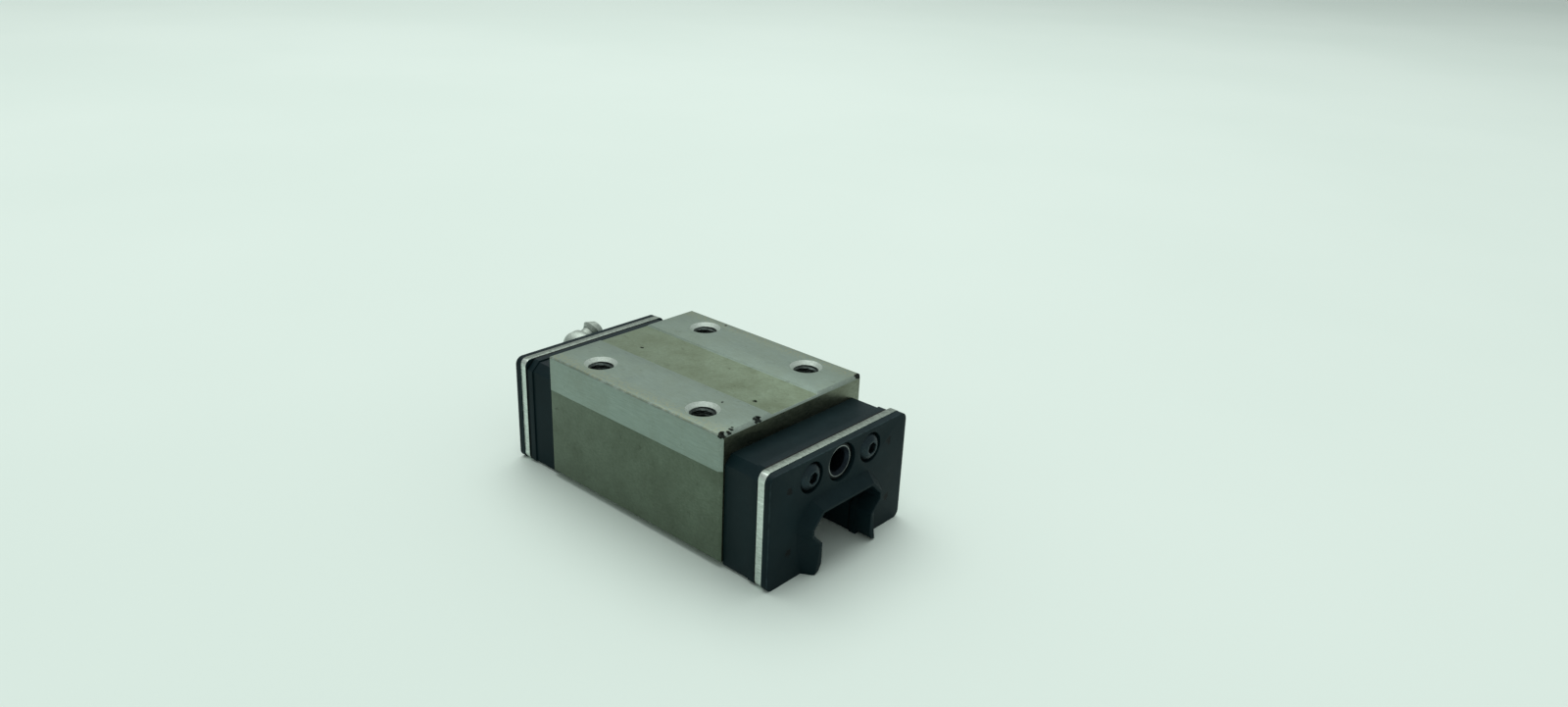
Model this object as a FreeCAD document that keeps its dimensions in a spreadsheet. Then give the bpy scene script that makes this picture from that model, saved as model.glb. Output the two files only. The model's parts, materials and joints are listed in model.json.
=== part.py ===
import FreeCAD, Part
import math
import os
import re
import Sketcher

# Linear bearing block for a profile rail, with four recirculating rows of balls.
# X runs along the rail, Y across it and Z up. The origin is the centre of the four tapped
# holes, on the ground mounting face, so everything else lies below it or beyond the ends.

# Driving sizes, in millimetres unless the note says otherwise
SIZES = [
    ("block_length", 59.5, "steel block along the rail"),
    ("block_width", 48.0, "steel block across the rail, over the ground bands"),
    ("leg_reach", 6.3, "legs below the undercut of the rail's head"),
    ("ground_band", 8.8, "height of the ground reference band on each side"),
    ("side_relief", 0.25, "how far the side below the band stands back"),
    ("edge_break", 0.4, "bevel of the long edges"),
    ("end_bevel", 0.8, "bevel round each end of the steel block"),
    ("channel_width", 15.4, "shallow channel between the two mounting pads"),
    ("channel_depth", 0.4, "depth of that channel"),
    ("bolt_end", 12.25, "end of the steel block to the middle of a tapped hole"),
    ("bolt_edge", 6.5, "side of the steel block to the middle of a tapped hole"),
    ("bolt_drill", 5.0, "tapping bore of the mounting holes"),
    ("bolt_depth", 8.0, "full depth of the tapping bore"),
    ("bolt_mouth", 8.0, "diameter of the countersunk mouth"),
    ("mouth_angle", 90.0, "degrees across the countersink"),
    ("drill_point", 118.0, "degrees across the drill's cone"),
    ("rail_drop", 18.0, "mounting face down to the top of the rail"),
    ("rail_width", 23.0, "head of the rail, at its widest"),
    ("rail_bevel", 3.0, "sloping shoulder and undercut of the rail's head"),
    ("rail_side", 1.2, "upright side of the rail's head"),
    ("ball_diameter", 3.969, "bearing ball"),
    ("groove_bite", 0.8, "how deep a ball sits in a raceway"),
    ("groove_gap", 0.08, "radial clearance of a ball in a raceway"),
    ("wall_gap", 1.4, "rail's side to the wall of the block's cavity"),
    ("roof_gap", 1.7, "rail's top to the roof of the block's cavity"),
    ("nose_gap", 1.1, "rail's waist to the nose of the block's leg"),
    ("return_gap", 0.22, "radial clearance of a ball in its return bore"),
    ("turn_gap", 0.28, "radial clearance of a ball in the turns"),
    ("ball_play", 0.03, "least gap between two balls in a row"),
    ("retainer_rail_gap", 0.15, "retainers to the rail"),
    ("retainer_seat_gap", 0.05, "retainers to the steel block and the end plates"),
    ("retainer_ball_gap", 0.12, "retainers to the balls"),
    ("retainer_web", 0.9, "web of the top retainer"),
    ("retainer_tab", 1.5, "how far a retainer reaches into each end plate"),
    ("plate_thickness", 8.0, "end plate without its flange"),
    ("plate_inset", 1.3, "end plate inside the side of the steel block"),
    ("plate_drop", 5.2, "mounting face down to the end plate"),
    ("plate_foot", 1.0, "end plate below the foot of the legs"),
    ("plate_corner", 2.0, "bevel of the end plate's upper corners"),
    ("foot_corner", 0.3, "bevel of the lower corners at each end"),
    ("plate_rail_gap", 0.8, "end plate to the rail"),
    ("flange_thickness", 2.3, "flange that carries the seal"),
    ("flange_step", 0.4, "flange beyond the end plate's outline"),
    ("flange_foot", 0.1, "flange below the end plate"),
    ("guide_margin", 0.6, "return guide beyond the outer sides of its two channels"),
    ("guide_gap", 0.05, "return guide to its seat in the end plate"),
    ("core_thickness", 2.0, "steel core plate of the end seal"),
    ("core_step", 0.3, "core plate beyond each side of the flange"),
    ("core_rise", 0.1, "core plate above the flange"),
    ("core_foot", 0.2, "core plate below the flange"),
    ("core_corner", 1.9, "radius of the core plate's upper corners"),
    ("core_rail_gap", 0.6, "core plate to the rail"),
    ("seal_thickness", 1.7, "rubber face of the end seal"),
    ("seal_step", 0.2, "rubber face beyond each side of the core plate"),
    ("seal_lap", 0.15, "core plate above the rubber face"),
    ("seal_foot", 0.1, "rubber face below the core plate"),
    ("seal_corner", 2.0, "radius of the rubber's upper corners"),
    ("foot_radius", 1.8, "radius of the rubber's lower corners"),
    ("lip_height", 2.8, "wiping lip beyond the rubber face"),
    ("lip_land", 0.7, "flat land round the lip's edge"),
    ("lip_rail_gap", 0.2, "wiping lip to the rail's nominal outline"),
    ("lip_foot", 1.4, "wiping lip below the foot of the legs"),
    ("lip_corner", 2.4, "bevel of the lip's inner corners at the foot"),
    ("flank_spread", 2.7, "foot of the lip's flank beyond the rail's head"),
    ("flank_shoulder", 1.4, "bevel of the flank's foot beyond the rail's flat top"),
    ("screw_reach", 10.25, "end screws, from the middle plane"),
    ("screw_drop", 9.6, "mounting face down to the end screws and grease port"),
    ("screw_shank", 4.0, "end screw, outside the thread"),
    ("screw_depth", 9.0, "end screw's length inside the steel block"),
    ("screw_gap", 0.05, "radial clearance of an end screw in its tapped hole"),
    ("screw_clearance", 0.25, "radial clearance of an end screw in the plates"),
    ("screw_tip_gap", 1.0, "screw's tip to the bottom of its hole"),
    ("screw_point", 0.5, "bevel at the tip of a screw or stem"),
    ("head_diameter", 6.8, "button head of an end screw"),
    ("head_height", 2.3, "height of the button head"),
    ("head_rim", 0.8, "upright rim of the button head"),
    ("head_shoulder", 5.7, "button head halfway up its dome, across"),
    ("head_crown", 3.6, "flat top of the button head, across"),
    ("socket_flats", 2.5, "hexagon socket across flats"),
    ("socket_depth", 1.5, "hexagon socket"),
    ("head_recess_gap", 0.3, "rubber round a button head"),
    ("port_thread", 5.4, "bore of the grease port's thread"),
    ("port_mouth", 7.0, "bevelled mouth of the grease port"),
    ("port_sleeve", 7.4, "grease port insert, outside its sleeve"),
    ("port_collar", 8.4, "grease port insert, outside its collar"),
    ("port_collar_height", 1.0, "collar on the core plate's face"),
    ("port_length", 9.0, "insert behind the collar's seat"),
    ("port_gap", 0.05, "insert to its seat"),
    ("port_recess", 9.2, "round opening in the rubber over the port"),
    ("oil_way", 2.5, "grease way from the port into the end plate"),
    ("oil_groove", 1.2, "depth of the grease grooves from the port to the turns"),
    ("side_seal_gap", 0.15, "side seal's lip to the rail's waist"),
    ("side_seal_width", 5.2, "side seal across the rail"),
    ("side_seal_step", 0.05, "clearance round the side seal"),
    ("nipple_stem", 5.3, "grease nipple's threaded stem"),
    ("nipple_stem_length", 5.0, "stem below the hexagon"),
    ("nipple_flats", 7.0, "hexagon across flats"),
    ("nipple_hexagon", 2.4, "height of the hexagon"),
    ("nipple_knee", 8.0, "diameter of the round knee"),
    ("nipple_knee_mid", 3.3, "hexagon to the middle of the knee"),
    ("nipple_knee_end", 3.8, "middle of the knee to its crown"),
    ("nipple_crown", 3.4, "flat crown of the knee, across"),
    ("nipple_lean", 152.0, "degrees from the rear plate's right side to the head"),
    ("nipple_neck", 4.6, "neck below the head"),
    ("nipple_waist", 4.9, "thin waist behind the head"),
    ("nipple_head", 6.5, "head, at its widest"),
    ("nipple_face", 3.6, "flat face of the head"),
    ("nipple_neck_end", 4.8, "knee's centre to the waist"),
    ("nipple_head_mid", 5.9, "knee's centre to the widest part of the head"),
    ("nipple_head_end", 7.9, "knee's centre to the head's face"),
    ("nipple_bore", 1.3, "grease way through the nipple"),
    ("check_ball", 1.6, "spring-loaded ball in the nipple's mouth"),
    ("check_mouth", 1.1, "mouth that the check ball closes"),
    ("check_wall", 0.35, "depth of that mouth"),
    ("check_gap", 0.06, "radial clearance of the check ball in its bore"),
    ("check_seat_gap", 0.03, "check ball to the end of the spring and to its seat"),
    ("spring_wire", 0.25, "six-sided wire of the check spring, across its corners"),
    ("spring_length", 3.0, "check spring when the nipple is closed"),
    ("spring_turns", 5.0, "turns of the check spring"),
]

doc = FreeCAD.newDocument("BearingBlock")
sheet = doc.addObject("Spreadsheet::Sheet", "Sizes")
for row, (alias, amount, note) in enumerate(SIZES, start=1):
    sheet.set("A%d" % row, note)
    sheet.set("B%d" % row, str(amount))
    sheet.setAlias("B%d" % row, alias)
doc.recompute()

# Names for the sketcher's numbers: its origin and its two axes
ORIGIN = -1
LEVEL_AXIS = -1
UPRIGHT_AXIS = -2


# Expressions are written with the sheet's aliases, which all hold an underscore
def bound(text):
    return re.sub(r"[a-z]+(?:_[a-z]+)+", lambda word: "Sizes." + word.group(0), text)


def number(text):
    return float(sheet.evalExpression(bound(text)))


def curve_point(name):
    return {"start": 1, "end": 2, "middle": 3}[name]


def plus(text):
    return text


def minus(text):
    return "0" if text == "0" else "-(%s)" % text


# The end at the back is the front one turned about the vertical axis
ENDS = [("front", False), ("rear", True)]


def sides(turned):
    return [("right", plus), ("left", minus)] if turned else [("left", plus), ("right", minus)]


# Builders for bodies, sketches and features, each bound to the sheet
def new_body(name, turned=False):
    body = doc.addObject("PartDesign::Body", name)
    body.Label = name
    if turned:
        half_turn = FreeCAD.Rotation(0, 0, 1, 0)
        body.Placement = FreeCAD.Placement(FreeCAD.Vector(), half_turn)
    return body


def new_sketch(body, role, name, offset="0", shift="0", drop="0", lean="0"):
    sketch = body.newObject("Sketcher::SketchObject", body.Name + "_" + name)
    plane = [item for item in body.Origin.OriginFeatures if item.Role == role][0]
    sketch.AttachmentSupport = [(plane, "")]
    sketch.MapMode = "FlatFace"
    turn = FreeCAD.Rotation(FreeCAD.Vector(0, 0, 1), number(lean))
    place = FreeCAD.Vector(number(shift), number(drop), number(offset))
    sketch.AttachmentOffset = FreeCAD.Placement(place, turn)
    for path, text in (("Base.x", shift), ("Base.y", drop), ("Base.z", offset)):
        if text != "0":
            sketch.setExpression("AttachmentOffset." + path, bound(text))
    if lean != "0":
        sketch.setExpression("AttachmentOffset.Rotation.Angle", bound(lean) + " * 1 deg")
    return sketch


def place_point(sketch, curve, end, across, up):
    for text, axis, kind in ((across, UPRIGHT_AXIS, "DistanceX"), (up, LEVEL_AXIS, "DistanceY")):
        if text == "0":
            sketch.addConstraint(Sketcher.Constraint("PointOnObject", curve, end, axis))
            continue
        start = curve_point("start")
        index = sketch.addConstraint(Sketcher.Constraint(kind, ORIGIN, start, curve, end, number(text)))
        sketch.setExpression("Constraints[%d]" % index, bound(text))


def draw_outline(sketch, points):
    corners = [FreeCAD.Vector(number(across), number(up), 0) for across, up in points]
    first = sketch.GeometryCount
    count = len(points)
    start, end = curve_point("start"), curve_point("end")
    for step in range(count):
        sketch.addGeometry(Part.LineSegment(corners[step], corners[(step + 1) % count]), False)
    for step in range(count):
        following = first + (step + 1) % count
        sketch.addConstraint(Sketcher.Constraint("Coincident", first + step, end, following, start))
    for step, (across, up) in enumerate(points):
        place_point(sketch, first + step, start, across, up)


def draw_box(sketch, near, far, low, high):
    draw_outline(sketch, [(near, low), (far, low), (far, high), (near, high)])


def draw_circle(sketch, across, up, diameter):
    middle = FreeCAD.Vector(number(across), number(up), 0)
    circle = Part.Circle(middle, FreeCAD.Vector(0, 0, 1), number(diameter) / 2)
    curve = sketch.addGeometry(circle, False)
    place_point(sketch, curve, curve_point("middle"), across, up)
    index = sketch.addConstraint(Sketcher.Constraint("Diameter", curve, number(diameter)))
    sketch.setExpression("Constraints[%d]" % index, bound(diameter))


def draw_hexagon(sketch, flats):
    reach = "(%s) / sqrt(3)" % flats
    draw_outline(sketch, [("%s * cos(%d deg)" % (reach, turn), "%s * sin(%d deg)" % (reach, turn))
                          for turn in range(15, 375, 60)])


def add_feature(kind, sketch, suffix):
    body = sketch.getParentGeoFeatureGroup()
    feature = body.newObject("PartDesign::" + kind, sketch.Name + "_" + suffix)
    feature.Profile = sketch
    return feature


def pad(sketch, length, both_ways=False):
    feature = add_feature("Pad", sketch, "pad")
    feature.setExpression("Length", bound(length))
    feature.Midplane = both_ways
    return feature


def pocket(sketch, length=None, both_ways=False, forwards=False):
    feature = add_feature("Pocket", sketch, "pocket")
    if length is None:
        feature.Type = "ThroughAll"
    else:
        feature.setExpression("Length", bound(length))
    feature.Midplane = both_ways
    feature.Reversed = forwards
    return feature


def revolve(sketch, axis):
    feature = add_feature("Revolution", sketch, "revolution")
    feature.ReferenceAxis = (sketch, [axis])
    return feature


def groove(sketch, axis):
    feature = add_feature("Groove", sketch, "groove")
    feature.ReferenceAxis = (sketch, [axis])
    return feature


# Rounds the edges along X that stand at one height and half width
def round_corners(base, radius, half_width, height):
    doc.recompute()
    names = []
    for count, edge in enumerate(base.Shape.Edges, start=1):
        start, finish = edge.Vertexes[0].Point, edge.Vertexes[-1].Point
        level = math.hypot(finish.y - start.y, finish.z - start.z) < 1e-6
        at_corner = math.hypot(abs(start.y) - number(half_width), start.z - number(height)) < 1e-6
        if level and at_corner:
            names.append("Edge%d" % count)
    body = base.getParentGeoFeatureGroup()
    fillet = body.newObject("PartDesign::Fillet", base.Name + "_fillet")
    fillet.Base = (base, names)
    fillet.setExpression("Radius", bound(radius))
    return fillet


def mirrored(points):
    return points + [(minus(across), up) for across, up in reversed(points) if across != "0"]


# Places along the rail, worked out from the driving sizes
FACE = "block_length / 2"
PLATE_END = FACE + " + plate_thickness"
FLANGE_END = PLATE_END + " + flange_thickness"
CORE_END = FLANGE_END + " + core_thickness"
SEAL_END = CORE_END + " + seal_thickness"
LIP_END = SEAL_END + " + lip_height"
COLLAR_END = CORE_END + " + port_collar_height"
KNEE_PLACE = COLLAR_END + " + nipple_hexagon + nipple_knee_mid"

# Places in the cross-section: the rows of balls, their turns and the cavity in the steel
BALL_STEP = "(ball_diameter / 2 - groove_bite) * cos(45 deg)"
ROW_REACH = "(rail_width / 2 - rail_bevel / 2 + %s)" % BALL_STEP
UPPER_ROW = "(-rail_drop - rail_bevel / 2 + %s)" % BALL_STEP
LOWER_ROW = "(-rail_drop - rail_bevel * 3 / 2 - rail_side - %s)" % BALL_STEP
WALL_REACH = "(rail_width / 2 + wall_gap)"
RETURN_REACH = "((%s + block_width / 2) / 2)" % WALL_REACH
TURN_REACH = "((%s + %s) / 2)" % (ROW_REACH, RETURN_REACH)
TURN_RADIUS = "((%s - %s) / 2)" % (RETURN_REACH, ROW_REACH)
TURN_WAY = "(ball_diameter / 2 + turn_gap)"
CAVITY_ROOF = "(-rail_drop + roof_gap)"
NOSE_REACH = "(rail_width / 2 - rail_bevel + nose_gap)"
RACE_REACH = "(%s + %s)" % (ROW_REACH, BALL_STEP)
UPPER_RACE = "(%s + %s)" % (UPPER_ROW, BALL_STEP)
LOWER_RACE = "(%s - %s)" % (LOWER_ROW, BALL_STEP)

# Outlines of the steel block's legs, the end plates, the core plates and the rubber
UNDERCUT = "(-rail_drop - 2 * rail_bevel - rail_side)"
LEG_FOOT = "(%s - leg_reach)" % UNDERCUT
PLATE_SIDE = "(block_width / 2 - plate_inset)"
PLATE_FOOT = "(%s - plate_foot)" % LEG_FOOT
CORE_SIDE = "(%s + flange_step + core_step)" % PLATE_SIDE
CORE_TOP = "(-plate_drop + flange_step + core_rise)"
CORE_FOOT = "(%s - flange_foot - core_foot)" % PLATE_FOOT
SEAL_SIDE = "(%s + seal_step)" % CORE_SIDE
SEAL_TOP = "(%s - seal_lap)" % CORE_TOP
SEAL_FOOT = "(%s - seal_foot)" % CORE_FOOT
UNDER_ALL = "(%s - lip_height)" % SEAL_FOOT
FLANK_REACH = "(rail_width / 2 + flank_spread)"
FLANK_SHOULDER = "(rail_width / 2 - rail_bevel + flank_shoulder)"
FLANK_TOP = "(-rail_drop + flank_spread)"


# Half of the rail's outline, from its foot to its flat top, grown by a clearance
def rail_half(gap, foot):
    lean = "(%s) * tan(22.5 deg)" % gap
    waist = "rail_width / 2 - rail_bevel + " + gap
    widest = "rail_width / 2 + " + gap
    return [
        (waist, foot),
        (waist, "%s - %s" % (UNDERCUT, lean)),
        (widest, "%s + rail_bevel - %s" % (UNDERCUT, lean)),
        (widest, "-rail_drop - rail_bevel + " + lean),
        ("rail_width / 2 - rail_bevel + " + lean, "-rail_drop + " + gap),
    ]


def cut_rail_opening(body, gap):
    opening = new_sketch(body, "YZ_Plane", "opening")
    draw_outline(opening, mirrored(rail_half(gap, UNDER_ALL)))
    return pocket(opening, both_ways=True)


def cut_screw_holes(body, diameter, port_diameter):
    holes = new_sketch(body, "YZ_Plane", "holes")
    for side_sign in (plus, minus):
        draw_circle(holes, side_sign("screw_reach"), "-screw_drop", diameter)
    draw_circle(holes, "0", "-screw_drop", port_diameter)
    return pocket(holes, both_ways=True)


# The steel block
def draw_block_section(section):
    side = "block_width / 2"
    draw_outline(section, mirrored([
        ("channel_width / 2", "-channel_depth"),
        ("channel_width / 2 + channel_depth", "0"),
        (side + " - edge_break", "0"),
        (side, "-edge_break"),
        (side, "-ground_band"),
        (side + " - side_relief", "-ground_band - side_relief"),
        (side + " - side_relief", LEG_FOOT + " + edge_break"),
        (side + " - side_relief - edge_break", LEG_FOOT),
        (NOSE_REACH, LEG_FOOT),
        (NOSE_REACH, "%s - (%s - %s)" % (LOWER_RACE, RACE_REACH, NOSE_REACH)),
        (WALL_REACH, "%s + (%s - %s)" % (LOWER_RACE, WALL_REACH, RACE_REACH)),
        (WALL_REACH, "%s - (%s - %s)" % (UPPER_RACE, WALL_REACH, RACE_REACH)),
        ("%s - (%s - %s)" % (RACE_REACH, CAVITY_ROOF, UPPER_RACE), CAVITY_ROOF),
    ]))


def cut_end_bevels(body):
    top = new_sketch(body, "XZ_Plane", "top_bevels")
    corners = new_sketch(body, "XY_Plane", "corner_bevels")
    inner = FACE + " - end_bevel"
    outer = FACE + " + end_bevel"
    for end_sign in (plus, minus):
        draw_outline(top, [
            (end_sign(inner), "0"),
            (end_sign(outer), "0"),
            (end_sign(outer), "-2 * end_bevel"),
        ])
        for side_sign in (plus, minus):
            draw_outline(corners, [
                (end_sign(inner), side_sign("block_width / 2")),
                (end_sign(outer), side_sign("block_width / 2")),
                (end_sign(outer), side_sign("block_width / 2 - 2 * end_bevel")),
            ])
    pocket(top, both_ways=True)
    pocket(corners, both_ways=True)


def cut_mounting_holes(body):
    bolts = new_sketch(body, "XY_Plane", "bolts")
    for along_sign in (plus, minus):
        for side_sign in (plus, minus):
            draw_circle(bolts, along_sign(FACE + " - bolt_end"), side_sign("block_width / 2 - bolt_edge"),
                        "bolt_drill")
    doc.recompute()
    holes = add_feature("Hole", bolts, "holes")
    doc.recompute()
    holes.Threaded = False
    holes.setExpression("Diameter", bound("bolt_drill"))
    holes.DepthType = "Dimension"
    holes.setExpression("Depth", bound("bolt_depth"))
    holes.DrillPoint = "Angled"
    holes.setExpression("DrillPointAngle", bound("drill_point") + " * 1 deg")
    holes.HoleCutType = "Countersink"
    holes.HoleCutCustomValues = True
    holes.setExpression("HoleCutDiameter", bound("bolt_mouth"))
    holes.setExpression("HoleCutCountersinkAngle", bound("mouth_angle") + " * 1 deg")


def make_block():
    body = new_body("carriage_block")
    section = new_sketch(body, "YZ_Plane", "section")
    draw_block_section(section)
    pad(section, "block_length", both_ways=True)

    races = new_sketch(body, "YZ_Plane", "races")
    returns = new_sketch(body, "YZ_Plane", "returns")
    for side_sign in (plus, minus):
        for height in (UPPER_ROW, LOWER_ROW):
            draw_circle(races, side_sign(ROW_REACH), height, "ball_diameter + 2 * groove_gap")
            draw_circle(returns, side_sign(RETURN_REACH), height, "ball_diameter + 2 * return_gap")
    pocket(races, both_ways=True)
    pocket(returns, both_ways=True)

    for end, turned in ENDS:
        screws = new_sketch(body, "YZ_Plane", "screws_" + end, minus(FACE) if turned else FACE)
        for side_sign in (plus, minus):
            draw_circle(screws, side_sign("screw_reach"), "-screw_drop", "screw_shank + 2 * screw_gap")
        pocket(screws, "screw_depth + screw_tip_gap", forwards=turned)
    cut_end_bevels(body)
    cut_mounting_holes(body)
    return body


# The retainers, each a strip along the block with a tab into each end plate
RETAINER_EDGE = "(%s - ball_diameter / 4)" % ROW_REACH
RETAINER_TOP = "(%s - retainer_seat_gap)" % CAVITY_ROOF
RETAINER_WEB = "(%s - retainer_web)" % RETAINER_TOP
RETAINER_TIP = "(-rail_drop + retainer_rail_gap)"
STRIP_NEAR = "(rail_width / 2 + retainer_rail_gap)"
STRIP_FAR = "(%s - retainer_seat_gap)" % WALL_REACH
STRIP_TAB_TOP = "(%s - %s)" % (UPPER_ROW, TURN_WAY)
STRIP_TAB_FOOT = "(%s + %s)" % (LOWER_ROW, TURN_WAY)
NOSE_NEAR = "(rail_width / 2 - rail_bevel + retainer_rail_gap)"
NOSE_FAR = "(%s - retainer_seat_gap)" % NOSE_REACH
NOSE_TOP = "(%s - ball_diameter / 5)" % LOWER_ROW
NOSE_FOOT = "(%s + retainer_seat_gap)" % LEG_FOOT
TABBED_LENGTH = "block_length + 2 * retainer_tab"
TAB_SEAT = "retainer_tab + retainer_seat_gap"


def cut_ball_paths(body, side_signs, heights):
    paths = new_sketch(body, "YZ_Plane", "ball_paths")
    for side_sign in side_signs:
        for height in heights:
            draw_circle(paths, side_sign(ROW_REACH), height, "ball_diameter + 2 * retainer_ball_gap")
    pocket(paths, both_ways=True)


def make_top_retainer():
    body = new_body("retainer_top")
    section = new_sketch(body, "YZ_Plane", "section")
    web_edge = "rail_width / 2 - rail_bevel - (%s - %s)" % (RETAINER_WEB, RETAINER_TIP)
    draw_outline(section, mirrored([
        (RETAINER_EDGE, RETAINER_TOP),
        (RETAINER_EDGE, RETAINER_TIP),
        ("rail_width / 2 - rail_bevel", RETAINER_TIP),
        (web_edge, RETAINER_WEB),
    ]))
    pad(section, TABBED_LENGTH, both_ways=True)
    cut_ball_paths(body, (plus, minus), (UPPER_ROW,))
    return body


def make_side_retainer(side, side_sign):
    body = new_body("retainer_" + side)
    section = new_sketch(body, "YZ_Plane", "section")
    draw_box(section, side_sign(STRIP_NEAR), side_sign(STRIP_FAR),
             "%s + ball_diameter / 4" % LOWER_ROW, "%s - ball_diameter / 4" % UPPER_ROW)
    pad(section, "block_length", both_ways=True)
    tabs = new_sketch(body, "YZ_Plane", "tabs")
    draw_box(tabs, side_sign(STRIP_NEAR), side_sign(STRIP_FAR), STRIP_TAB_FOOT, STRIP_TAB_TOP)
    pad(tabs, TABBED_LENGTH, both_ways=True)
    cut_ball_paths(body, (side_sign,), (UPPER_ROW, LOWER_ROW))
    return body


def make_lower_retainer(side, side_sign):
    body = new_body("retainer_lower_" + side)
    section = new_sketch(body, "YZ_Plane", "section")
    draw_box(section, side_sign(NOSE_NEAR), side_sign(NOSE_FAR), NOSE_FOOT, NOSE_TOP)
    pad(section, TABBED_LENGTH, both_ways=True)
    cut_ball_paths(body, (side_sign,), (LOWER_ROW,))
    return body


# The strips of rubber under the legs, which keep dirt off the rail's waist
WIPER_NEAR = "(rail_width / 2 - rail_bevel + side_seal_gap)"
WIPER_FAR = "(%s + side_seal_width)" % WIPER_NEAR
WIPER_TOP = "(%s - side_seal_step)" % LEG_FOOT


def make_side_seal(side, side_sign):
    body = new_body("side_seal_" + side)
    section = new_sketch(body, "YZ_Plane", "section")
    draw_box(section, side_sign(WIPER_NEAR), side_sign(WIPER_FAR), PLATE_FOOT, WIPER_TOP)
    pad(section, TABBED_LENGTH, both_ways=True)
    return body


# The turns: each end plate has a round seat on either side with the outer half of the two
# channels in its wall, and a guide with their inner half stands in that seat
def turn_profile(depth_sign, gap, wall):
    half = TURN_WAY
    slope = half + " * tan(22.5 deg)"
    top = "%s + %s + guide_margin + %s" % (UPPER_ROW, TURN_WAY, gap)
    foot = "%s - %s - guide_margin - %s" % (LOWER_ROW, TURN_WAY, gap)
    points = [("0", top), (wall, top)]
    for height in (UPPER_ROW, LOWER_ROW):
        rim = [(wall, "%s + %s" % (height, half)), (wall, "%s - %s" % (height, half))]
        inner = [(depth_sign(slope), half), (depth_sign(half), slope)]
        inner += [(depth, "-" + rise) for depth, rise in reversed(inner)]
        curve = [("%s + (%s)" % (TURN_RADIUS, depth), "%s + (%s)" % (height, rise)) for depth, rise in inner]
        points += [rim[0]] + curve + [rim[1]]
    return points + [(wall, foot), ("0", foot)]


def make_end_plate(end, turned):
    body = new_body("end_plate_" + end, turned)
    side = PLATE_SIDE
    plate = new_sketch(body, "YZ_Plane", "plate", FACE)
    draw_outline(plate, mirrored([
        (side + " - plate_corner", "-plate_drop"),
        (side, "-plate_drop - plate_corner"),
        (side, PLATE_FOOT + " + foot_corner"),
        (side + " - foot_corner", PLATE_FOOT),
    ]))
    pad(plate, "plate_thickness")
    flange = new_sketch(body, "YZ_Plane", "flange", PLATE_END)
    draw_outline(flange, mirrored([
        (side + " - plate_corner", "-plate_drop + flange_step"),
        (side + " + flange_step", "-plate_drop - plate_corner"),
        (side + " + flange_step", PLATE_FOOT + " + foot_corner"),
        (side + " - foot_corner", PLATE_FOOT + " - flange_foot"),
    ]))
    pad(flange, "flange_thickness")
    cut_rail_opening(body, "plate_rail_gap")
    cut_screw_holes(body, "screw_shank + 2 * screw_clearance", "oil_way")

    for name, side_sign in sides(turned):
        turn = new_sketch(body, "YZ_Plane", "turn_" + name, FACE, shift=side_sign(TURN_REACH))
        draw_outline(turn, turn_profile(plus, "guide_gap", TURN_RADIUS))
        groove(turn, "V_Axis")

    port = new_sketch(body, "YZ_Plane", "port", CORE_END + " - port_length")
    draw_circle(port, "0", "-screw_drop", "port_sleeve + 2 * port_gap")
    pocket(port, forwards=True)

    ways = new_sketch(body, "YZ_Plane", "ways", FACE)
    seat_top = "%s + %s + guide_margin" % (UPPER_ROW, TURN_WAY)
    draw_outline(ways, mirrored([
        ("0", "-screw_drop + oil_way / 2"),
        ("%s + oil_way / 2" % TURN_REACH, seat_top),
        ("%s - oil_way / 2" % TURN_REACH, seat_top),
        ("0", "-screw_drop - oil_way / 2"),
    ]))
    pocket(ways, "oil_groove", forwards=True)

    tabs = new_sketch(body, "YZ_Plane", "tabs", FACE)
    edge = "%s + retainer_seat_gap" % RETAINER_EDGE
    draw_box(tabs, minus(edge), edge, UPPER_ROW, CAVITY_ROOF)
    for side_sign in (plus, minus):
        draw_box(tabs, side_sign(NOSE_NEAR), side_sign(NOSE_REACH),
                 WIPER_TOP, NOSE_TOP + " + retainer_seat_gap")
    pocket(tabs, TAB_SEAT, forwards=True)
    wipers = new_sketch(body, "YZ_Plane", "wipers", FACE)
    for side_sign in (plus, minus):
        draw_box(wipers, side_sign(WIPER_NEAR), side_sign(WIPER_FAR + " + side_seal_step"),
                 UNDER_ALL, LEG_FOOT)
    pocket(wipers, TAB_SEAT, forwards=True)
    return body


def make_return_guide(end, turned, side, side_sign):
    body = new_body("return_guide_%s_%s" % (end, side), turned)
    turn = new_sketch(body, "YZ_Plane", "turn", FACE, shift=side_sign(TURN_REACH))
    draw_outline(turn, turn_profile(minus, "0", TURN_RADIUS + " - guide_gap"))
    revolve(turn, "V_Axis")
    behind = new_sketch(body, "YZ_Plane", "behind", FACE)
    draw_box(behind, "0", side_sign("block_width / 2"), LEG_FOOT, "-channel_depth")
    pocket(behind)
    cut_rail_opening(body, "plate_rail_gap")
    tab = new_sketch(body, "YZ_Plane", "tab", FACE)
    draw_box(tab, side_sign(STRIP_NEAR), side_sign(WALL_REACH),
             STRIP_TAB_FOOT + " - retainer_seat_gap", STRIP_TAB_TOP + " + retainer_seat_gap")
    pocket(tab, TAB_SEAT, forwards=True)
    return body


# The end seal: a steel core plate with rubber moulded on it, and the lip round the rail
def draw_plate(sketch, half_width, top, foot):
    draw_box(sketch, minus(half_width), half_width, foot, top)


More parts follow.
